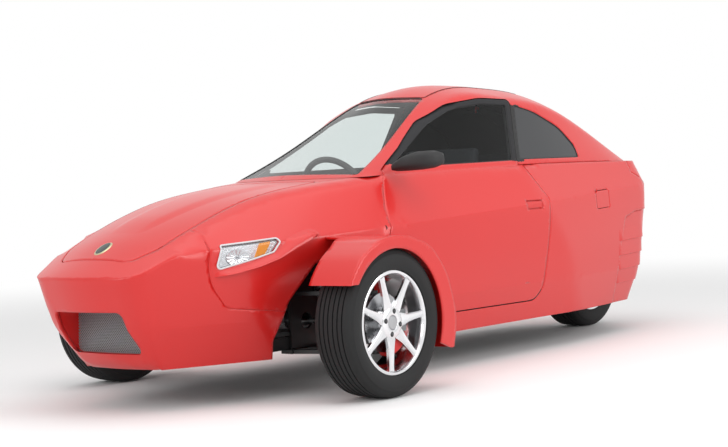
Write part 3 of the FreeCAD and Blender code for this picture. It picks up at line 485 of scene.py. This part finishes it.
def spokes(mesh, centre, way):
    """Adds the spokes of one rim: each a run of six-sided sections with chamfered front edges."""
    for number in range(SPOKES):
        angle = math.radians(SPOKE_PHASE + 360 / SPOKES * number)
        out = Vector((0, math.sin(angle), math.cos(angle)))
        across = Vector((0, math.cos(angle), -math.sin(angle)))
        sections = []
        for radius, half, front, back in SPOKE_RUN:
            ring = []
            for offset, share in ((back, 0.85), (front - 5, 1.0), (front, 0.72), (front - 1.2, 0.0),
                                  (front, -0.72), (front - 5, -1.0), (back, -0.85)):
                ring.append(mesh.verts.new(centre + (Vector((way * offset, 0, 0)) + out * radius
                                                     + across * half * share) * MM))
            sections.append(ring)
        for here, there in zip(sections, sections[1:]):
            for i in range(len(here)):
                k = (i + 1) % len(here)
                mesh.faces.new((here[i], here[k], there[k], there[i]))
        mesh.faces.new(sections[0])
        mesh.faces.new(sections[-1])


for wheel, (x, station, way, body) in WHEELS.items():
    centre = row(x, station, HUB_Z)
    rim = turned(f"cast_rim_{wheel}", BARREL, [centre], way, bright_alloy, body, steps=128)
    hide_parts(f"rim_{wheel}")
    turned(f"rim_hub_{wheel}", HUB, [centre], way, bright_alloy, body, steps=64)
    spoke_mesh = bmesh.new()
    spokes(spoke_mesh, centre, way)
    build(f"rim_spokes_{wheel}", spoke_mesh, bright_alloy, body, crease=28)

# Each rim has four nuts sunk in wells round a blank cap; each well is a black disc, painted shade in its hole.
# The eye sees four small dark holes with a glint of grey steel in each, and a satin grey cap.
nut_steel = finish("nut steel", "4B4C4E", "5A5B5D", 10, 0.4, Metallic=1.0)
nut_well_painted_shade = finish("painted shade in nut well", "08080A", "101012", 10, 0.6)
cap_grey = finish("satin grey cap", "A6A7A9", "B4B5B7", 20, 0.35, Metallic=0.7)
# The nuts' pitch radius and first angle, then how far their seats and the cap's stand out from the rim's middle.
NUT_CIRCLE = 46
NUT_PHASE = 12
NUT_SEAT = 76.4
CAP_SEAT = 71
NUT = [(0.6, 0), (1.6, 0), (2.4, 4), (1.6, 6), (0.6, 6.4)]
NUT_WELL = [(0.9, 0), (0.9, 9.4), (0.2, 10.6), (-1.5, 10.6), (-1.5, 0)]
CAP = [(-2, 0), (5, 0), (4.8, 18), (4, 24), (2, 26), (-2, 27)]
for wheel, (x, station, way, body) in WHEELS.items():
    seats = []
    for quarter in range(4):
        angle = math.radians(90 * quarter + NUT_PHASE)
        seats.append(row(x + way * NUT_SEAT, station + NUT_CIRCLE * math.sin(angle),
                         HUB_Z + NUT_CIRCLE * math.cos(angle)))
    # Near-black discs painted as the shade inside each nut's well.
    turned(f"nut_wells_{wheel}", NUT_WELL, seats, way, nut_well_painted_shade, body, steps=24)
    turned(f"wheel_nuts_{wheel}", NUT, seats, way, nut_steel, body, steps=6)
    turned(f"wheel_cap_{wheel}", CAP, [row(x + way * CAP_SEAT, station, HUB_Z)], way, cap_grey, body, steps=48)

# A red caliper straddles the lower rear of each front disc, carried by the knuckle.
# The eye sees a glimpse of red behind the spokes.
caliper_red = finish("red caliper paint", "B3100D", "C01511", 30, 0.4)
for side, way in (("left", 1), ("right", -1)):
    low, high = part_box(f"brake_disc_{side}")
    disc_middle = Vector(((low[0] + high[0]) / 2, row(0, FRONT_AXLE, 0).y, HUB_Z * MM))
    turned(f"brake_caliper_{side}",
           [(-26, 78), (-29, 92), (-29, 122), (-24, 131), (0, 134), (18, 131), (25, 124), (25, 84), (20, 78),
            (20, 119), (-21, 119), (-21, 78)],
           [disc_middle], way, caliper_red, f"knuckle_{side}",
           steps=18, sweep=(118, 182))

# ---------------------------------------------------------------- grille and lamps
# The openings of the nose and tail: a wire screen in its duct, and a glazed lamp at each corner.
# The screen is clipped into the duct, and each lamp sits in its own opening in the panels.

# The grille is a fine woven wire screen set back in the red duct, with darkness behind it.
# The eye sees mid grey wire with a diagonal grain.
mesh_steel = finish("grey grille wire", "8C8D8F", "A0A1A3", 8, 0.45, bump=0.05, Metallic=0.4)
dress(red_paint, "grille_duct")
GRILLE = [(-193, 404), (193, 404), (203, 230), (-203, 230)]
# The screen's station, the pitch and half thickness of its wires, and how far the two runs stand apart, in mm.
GRILLE_STATION = 211
WIRE_PITCH = 8.5
WIRE_HALF = 1.3
WEAVE = 0.8


def wire_span(offset, slope):
    """Where the line z = slope * x + offset crosses the grille's outline, as its two ends, or None."""
    ends = []
    for (x0, z0), (x1, z1) in zip(GRILLE, GRILLE[1:] + GRILLE[:1]):
        a, b = z0 - slope * x0 - offset, z1 - slope * x1 - offset
        if a * b < 0:
            t = a / (a - b)
            ends.append((mix(x0, x1, t), mix(z0, z1, t)))
    return ends if len(ends) == 2 else None


screen = bmesh.new()
for slope in (1, -1):
    offset = -20.0
    while offset < 660:
        span = wire_span(offset, slope)
        offset += WIRE_PITCH * math.sqrt(2)
        if span is None:
            continue
        start, end = Vector(span[0]), Vector(span[1])
        normal = (end - start).orthogonal().normalized() * WIRE_HALF
        depth = GRILLE_STATION + slope * WEAVE
        corners = []
        for point in (start, end):
            for shift, back in ((1, -1), (1, 1), (-1, 1), (-1, -1)):
                place = point + normal * shift
                corners.append(screen.verts.new(row(place.x, depth + WIRE_HALF * back, place.y)))
        for i in range(4):
            k = (i + 1) % 4
            screen.faces.new((corners[i], corners[k], corners[k + 4], corners[i + 4]))
        screen.faces.new(corners[:4])
        screen.faces.new(corners[4:])
grille_screen = build("grille_screen", screen, mesh_steel, "body", crease=30)
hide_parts("grille")
# A black board closes the duct behind the screen, where the radiator stands: its black is painted shade, the
# darkness deep in the duct. The eye sees darkness.
grille_painted_shade = finish("painted shade behind grille", "0A0A0B", "121213", 12, 0.7)
shade_board = bmesh.new()
shade_board.faces.new([shade_board.verts.new(row(x, GRILLE_STATION + 12, z)) for x, z in GRILLE])
bmesh.ops.subdivide_edges(shade_board, edges=shade_board.edges, cuts=6, use_grid_fill=True)
build("grille_shade_board", shade_board, grille_painted_shade, "body")
# Each lamp's pod is silvered inside; the eye sees bright, slightly rippled metal with dark patches.
chrome = finish("lamp reflector silver", "A9ACB0", "D2D4D7", 9, 0.25, bump=0.6, spread=0.1, Metallic=0.75)
dress(chrome, "headlamps")


def glazing(name, tint, density, roughness, shine=1.0):
    """Thin glass: clear or tinted see-through with a mirror-like surface that strengthens at a slant."""
    made = bpy.data.materials.new(name)
    made.use_nodes = True
    tree = made.node_tree
    tree.nodes.clear()
    place = add_node(tree, "ShaderNodeTexCoord", {}, {})
    haze = add_node(tree, "ShaderNodeTexNoise", {}, {"Vector": place.outputs["Object"], "Scale": 14.0})
    rough = add_node(tree, "ShaderNodeMapRange", {}, {
        "Value": haze.outputs["Fac"], "To Min": roughness * 0.8, "To Max": roughness * 1.2})
    clear = add_node(tree, "ShaderNodeBsdfTransparent", {}, {"Color": linear(tint)})
    body = add_node(tree, "ShaderNodeBsdfDiffuse", {}, {"Color": linear(tint)})
    through = add_node(tree, "ShaderNodeMixShader", {}, {0: density, 1: clear.outputs[0], 2: body.outputs[0]})
    mirror = add_node(tree, "ShaderNodeBsdfGlossy", {}, {"Roughness": rough.outputs[0]})
    slant = add_node(tree, "ShaderNodeFresnel", {}, {"IOR": 1.5})
    side = add_node(tree, "ShaderNodeNewGeometry", {}, {})
    front = add_node(tree, "ShaderNodeMath", {"operation": "SUBTRACT"}, {0: 1.0, 1: side.outputs["Backfacing"]})
    outer = add_node(tree, "ShaderNodeMath", {"operation": "MULTIPLY"}, {
        0: slant.outputs[0], 1: front.outputs[0]})
    amount = add_node(tree, "ShaderNodeMath", {"operation": "MULTIPLY"}, {0: outer.outputs[0], 1: shine})
    surface = add_node(tree, "ShaderNodeMixShader", {}, {
        0: amount.outputs[0], 1: through.outputs[0], 2: mirror.outputs[0]})
    add_node(tree, "ShaderNodeOutputMaterial", {}, {"Surface": surface.outputs[0]})
    return made


# The eye sees the cabin through windscreen and door glass, grey-black quarter panes and deep red tail lenses.
clear_glass = glazing("clear glass", "F6F9F8", 0.015, 0.02, shine=0.9)
lamp_lens = glazing("clear lamp lens", "FFFFFF", 0.0, 0.04, shine=0.5)
door_tint = glazing("clear door glass", "F2F5F5", 0.0, 0.02, shine=0.5)
dark_glass = glazing("smoked glass", "434446", 0.75, 0.05, shine=0.9)
red_lens = glazing("red lamp lens", "8E0F0C", 0.6, 0.08)
dress(clear_glass, "windshield")
dress(lamp_lens, "headlamp_lenses")
dress(door_tint, "door_glass_left", "door_glass_right")
dress(dark_glass, "quarter_glasses", "hatch_glass")
dress(red_lens, "tail_lamps")


def pane_edges(name):
    """The closed outer edges of the panes of a node, each a list of points.

    A pane's faces fall into sheets at its sharp edges; its large sheets that look outwards are its outer faces.
    """
    mesh = bmesh.new()
    mesh.from_mesh(nodes[name].data)
    bmesh.ops.remove_doubles(mesh, verts=mesh.verts, dist=5e-5)
    mesh.normal_update()
    waiting = set(mesh.faces)
    sheets = []
    while waiting:
        sheet = [waiting.pop()]
        for face in sheet:
            for edge in face.edges:
                if edge.calc_face_angle(0) < math.radians(40):
                    for other in edge.link_faces:
                        if other in waiting:
                            waiting.remove(other)
                            sheet.append(other)
        sheets.append(sheet)
    areas = [sum(face.calc_area() for face in sheet) for sheet in sheets]
    outlines = []
    for sheet, area in zip(sheets, areas):
        outward = 0
        for face in sheet:
            middle = face.calc_center_median()
            outward += face.normal.dot(Vector((middle.x, 0, middle.z - 0.7))) * face.calc_area()
        if area < 0.3 * max(areas) or outward < 0:
            continue
        inside = set(sheet)
        border = {edge for face in sheet for edge in face.edges
                  if sum(other in inside for other in edge.link_faces) == 1}
        while border:
            edge = border.pop()
            path = [edge.verts[0], edge.verts[1]]
            while path[-1] is not path[0]:
                onward = next((e for e in path[-1].link_edges if e in border), None)
                if onward is None:
                    break
                border.remove(onward)
                path.append(onward.other_vert(path[-1]))
            if len(path) > 8:
                outlines.append([vertex.co.copy() for vertex in path[:-1]])
    mesh.free()
    return outlines


def bead(name, paths, radius, material, body, closed=True):
    """A round bead of a radius in mm along each path."""
    curve = bpy.data.curves.new(name, "CURVE")
    curve.dimensions = "3D"
    curve.bevel_depth = radius * MM
    curve.bevel_resolution = 2
    curve.use_fill_caps = True
    for path in paths:
        spline = curve.splines.new("POLY")
        spline.points.add(len(path) - 1)
        for point, place in zip(spline.points, path):
            point.co = (*place, 1)
        spline.use_cyclic_u = closed
    former = bpy.data.objects.new(name + "_path", curve)
    bpy.context.scene.collection.objects.link(former)
    shape = bpy.data.meshes.new_from_object(former.evaluated_get(bpy.context.evaluated_depsgraph_get()))
    bpy.data.objects.remove(former)
    mesh = bmesh.new()
    mesh.from_mesh(shape)
    bpy.data.meshes.remove(shape)
    return build(name, mesh, material, body, crease=60)


# Inside each head lamp: a white-grey rim, a faceted reflector bowl in front and an amber lens behind it.
# The eye sees bright silver, an orange rear third and a pale frame round it all.
lamp_grey = finish("pale lamp frame", "C9CBCD", "D6D8DA", 40, 0.4)
amber = finish("amber lens", "D07A00", "E08E10", 6, 0.35, bump=0.3)
bead("headlamp_rims", pane_edges("headlamp_lenses"), 3.6, lamp_grey, "body")
lamp_skin = skin_of("headlamps")
for side, sign in (("left", 1), ("right", -1)):
    def amber_place(u, v, sign=sign):
        top = Vector((mix(602, 664, u), mix(634, 640, u)))
        foot = Vector((mix(566, 628, u), mix(566, 588, u)))
        return row(sign * 900, mix(foot.x, top.x, v), mix(foot.y, top.y, v))

    drape(f"headlamp_amber_{side}", lamp_skin, (16, 16), amber_place, (-sign, 0, 0),
          lambda u, v: 3.2 * swell(min(u, 1 - u, v, 1 - v) / 0.06) - 0.4, amber, "body")

    def bowl_place(u, v, sign=sign):
        turn = v * 2 * math.pi
        return row(sign * 900, 500 + 50 * u * math.cos(turn), 584 + 34 * u * math.sin(turn))

    drape(f"headlamp_bowl_{side}", lamp_skin, (14, 56), bowl_place, (-sign, 0, 0),
          lambda u, v: (0.6 + 4.2 * u * u + 0.5 * math.cos(v * 14 * math.pi * 2)) if u < 0.97 else -0.4,
          chrome, "body")

# ---------------------------------------------------------------- cabin and trim
# What is fixed to the doors and the cabin: mirror, handles, seals, fascia and the two seats.
# Moulded plastic and rubber pushed into the panels' edges; the seats are foam under cloth, bolted to the tub.

# The eye sees dull black with a fine grain.
grained_plastic = finish("grained black plastic", "121213", "1B1B1C", 3, 0.6, bump=0.12)
dress(grained_plastic, "dashboard", "fuel_filler", "mirror_left", "steering_wheel")
dress(red_paint, "door_handle_left", "door_handle_right")

# The door mirror: a black pod swept back from a foot in the window's front corner.
# Its sections are rounded rectangles along a bent spine.
# Each section is x, station, height, half length and half height, in mm.
MIRROR_RUN = [(436, 1492, 916, 16, 14), (462, 1500, 922, 34, 24), (500, 1520, 932, 56, 34),
              (545, 1545, 940, 62, 40), (590, 1568, 944, 56, 38), (618, 1584, 945, 38, 28),
              (628, 1590, 945, 16, 12)]
MIRROR_STEPS = 32
# A power under 1 squares up each round section.
MIRROR_SQUARE = 0.7
mirror_mesh = bmesh.new()
mirror_rings = []
for x, station, height, half_s, half_z in MIRROR_RUN:
    ring = []
    for step in range(MIRROR_STEPS):
        angle = 2 * math.pi * step / MIRROR_STEPS
        wide = math.copysign(abs(math.cos(angle)) ** MIRROR_SQUARE, math.cos(angle))
        tall = math.copysign(abs(math.sin(angle)) ** MIRROR_SQUARE, math.sin(angle))
        ring.append(mirror_mesh.verts.new(row(x, station + half_s * wide, height + half_z * tall)))
    mirror_rings.append(ring)
for here, there in zip(mirror_rings, mirror_rings[1:]):
    for step in range(MIRROR_STEPS):
        onward = (step + 1) % MIRROR_STEPS
        mirror_mesh.faces.new((here[step], here[onward], there[onward], there[step]))
mirror_mesh.faces.new(mirror_rings[0])
mirror_mesh.faces.new(mirror_rings[-1])
bmesh.ops.subdivide_edges(mirror_mesh, edges=mirror_mesh.edges, cuts=1, smooth=1.0)
mirror_pod = build("mirror_pod", mirror_mesh, grained_plastic, "door_left", crease=80)
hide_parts("mirror_left")

# Black rubber seals run round every pane, and thin black joints between the roof and the frames beside it.
# The eye sees a crisp dark line round the glass.
seal_rubber = finish("black seal rubber", "0E0E0F", "161617", 15, 0.6)
for pane, body in (("windshield", "body"), ("quarter_glasses", "body"), ("hatch_glass", "hatch"),
                   ("door_glass_left", "door_left"), ("door_glass_right", "door_right")):
    bead(pane + "_seal", pane_edges(pane), 3.4, seal_rubber, body)
bead("roof_joint", pane_edges("roof_panel"), 1.6, seal_rubber, "body")

# The pillar between each door and the quarter glass behind it is finished in black, so the panes read as one.
# Its foot and head, as (height, front station, rear station) in mm.
frames = shown["side_frames"].data
frames.materials.append(seal_rubber)
PILLAR_FOOT = (925, 2462, 2552)
PILLAR_HEAD = (1208, 2562, 2650)
for face in frames.polygons:
    station = (face.center.y + LENGTH / 2) / MM
    height = (face.center.z / MM - PILLAR_FOOT[0]) / (PILLAR_HEAD[0] - PILLAR_FOOT[0])
    front, back = (mix(PILLAR_FOOT[i], PILLAR_HEAD[i], height) for i in (1, 2))
    if 0 < height < 1 and front < station < back:
        face.material_index = len(frames.materials) - 1


# The seats' grain, the half width between their side seams and a channel's half width, in metres, and the depths
# of channels and seams in mm.
SEAT_GRAIN = 0.011
SEAM_AT = 0.135
SEAM_WIDTH = 0.006
CHANNEL_WIDTH = 0.03
CHANNEL_DEPTH = 4.0
SEAM_DEPTH = 3.5


def cushion(name, node, channels):
    """A padded seat over its CAD solid, rounded off, with a sewn channel across it at each (station, height)."""
    source = nodes[node]
    data = source.data.copy()
    made = bpy.data.objects.new(name, data)
    bpy.context.scene.collection.objects.link(made)
    remesh = made.modifiers.new("even", "REMESH")
    remesh.mode = "VOXEL"
    remesh.voxel_size = SEAT_GRAIN
    relax = made.modifiers.new("relax", "SMOOTH")
    relax.factor = 0.6
    relax.iterations = 14
    shape = bpy.data.meshes.new_from_object(made.evaluated_get(bpy.context.evaluated_depsgraph_get()))
    bpy.data.objects.remove(made)
    mesh = bmesh.new()
    mesh.from_mesh(shape)
    mesh.normal_update()
    for vertex in mesh.verts:
        depth = 0.0
        for station, height in channels:
            here = Vector((0, vertex.co.y, vertex.co.z)) - row(0, station, height)
            depth += CHANNEL_DEPTH * math.exp(-(here.length / CHANNEL_WIDTH) ** 4)
        seam = abs(abs(vertex.co.x) - SEAM_AT) / SEAM_WIDTH
        depth += SEAM_DEPTH * math.exp(-seam * seam)
        vertex.co -= vertex.normal * depth * MM
    made = build(name, mesh, seat_cloth, "body", crease=180)
    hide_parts(node)
    return made


# Two padded seats, one behind the other, in a dark grey woven cloth.
seat_cloth = finish("grey seat cloth", "232427", "33353A", 2.5, 0.9, bump=0.3)
cushion("front_seat_cushion", "seat_front", ((2150, 480), (2300, 620), (2360, 760)))
cushion("rear_seat_cushion", "seat_rear", ((2790, 480), (2940, 620), (3000, 760)))

# ---------------------------------------------------------------- studio
# A white studio: a paper floor, an even white surround and three large soft lights.
# The camera stands low, ahead of the car and to its left.


def plane(name, half, z):
    """A square sheet lying level."""
    mesh = bmesh.new()
    bmesh.ops.create_grid(mesh, x_segments=8, y_segments=8, size=half)
    data = bpy.data.meshes.new(name)
    mesh.to_mesh(data)
    mesh.free()
    made = bpy.data.objects.new(name, data)
    made.location.z = z
    bpy.context.scene.collection.objects.link(made)
    return made


# The floor is pale grey round the car and fades to plain white well away from it, so no horizon shows.
floor_paper = finish("pale studio floor", "F0F0F0", "F3F3F3", 3000, 0.8, spread=0.02)
paper = floor_paper.node_tree
place = add_node(paper, "ShaderNodeTexCoord", {}, {})
away = add_node(paper, "ShaderNodeVectorMath", {"operation": "LENGTH"}, {0: place.outputs["Object"]})
fade = add_node(paper, "ShaderNodeMapRange", {"interpolation_type": "SMOOTHSTEP"}, {
    "Value": away.outputs["Value"], "From Min": 2.6, "From Max": 9.0, "To Min": 0.0, "To Max": 1.0})
white = add_node(paper, "ShaderNodeEmission", {}, {"Color": (1, 1, 1, 1), "Strength": 1.0})
shader = next(item for item in paper.nodes if item.type == "BSDF_PRINCIPLED")
output = next(item for item in paper.nodes if item.type == "OUTPUT_MATERIAL")
blend = add_node(paper, "ShaderNodeMixShader", {}, {
    0: fade.outputs[0], 1: shader.outputs[0], 2: white.outputs[0]})
paper.links.new(blend.outputs[0], output.inputs["Surface"])
floor = plane("studio_floor", 40, 0)
floor.data.materials.append(floor_paper)

world = bpy.data.worlds.new("studio")
bpy.context.scene.world = world
world.use_nodes = True
sky = world.node_tree
sky.nodes.clear()
rays = add_node(sky, "ShaderNodeLightPath", {}, {})
seen = add_node(sky, "ShaderNodeMath", {"operation": "MAXIMUM"}, {
    0: rays.outputs["Is Camera Ray"], 1: rays.outputs["Is Glossy Ray"]})
seen = add_node(sky, "ShaderNodeMath", {"operation": "MAXIMUM"}, {
    0: seen.outputs[0], 1: rays.outputs["Is Transmission Ray"]})
level = add_node(sky, "ShaderNodeMapRange", {}, {"Value": seen.outputs[0], "To Min": 0.68, "To Max": 1.0})
glow = add_node(sky, "ShaderNodeBackground", {}, {"Color": (1, 1, 1, 1), "Strength": level.outputs[0]})
add_node(sky, "ShaderNodeOutputWorld", {}, {"Surface": glow.outputs[0]})


def soft_box(name, place, target, width, height, power):
    """A rectangular area light at a place, aimed at a target."""
    light = bpy.data.lights.new(name, "AREA")
    light.shape = "RECTANGLE"
    light.size = width
    light.size_y = height
    light.energy = power
    made = bpy.data.objects.new(name, light)
    made.location = place
    made.rotation_euler = (Vector(target) - Vector(place)).to_track_quat("-Z", "Y").to_euler()
    bpy.context.scene.collection.objects.link(made)
    return made


soft_box("overhead soft box", (1.0, -1.0, 5.0), (0, 0, 0.5), 6, 5, 115)
soft_box("side soft box", (5.5, 0.5, 2.6), (0, 0, 0.6), 4, 2.5, 125)
soft_box("front soft box", (0.5, -6.5, 2.4), (0, -1.5, 0.5), 4, 2.5, 90)

camera_data = bpy.data.cameras.new("studio camera")
camera = bpy.data.objects.new("studio camera", camera_data)
bpy.context.scene.collection.objects.link(camera)
# The camera's place in metres, its heading, downward pitch and roll in degrees, and its lens in mm.
CAMERA_AT = (4.6393, -6.0167, 0.8458)
HEADING = 38.6913
PITCH = 1.4045
ROLL = -2.4909
LENS = 78.12
camera_data.lens = LENS
camera_data.sensor_width = 36
turn = (Matrix.Rotation(math.radians(HEADING), 4, "Z") @ Matrix.Rotation(math.radians(90 - PITCH), 4, "X")
        @ Matrix.Rotation(math.radians(ROLL), 4, "Z"))
camera.matrix_world = Matrix.Translation(CAMERA_AT) @ turn
bpy.context.scene.camera = camera
bpy.context.scene.view_settings.view_transform = "Standard"
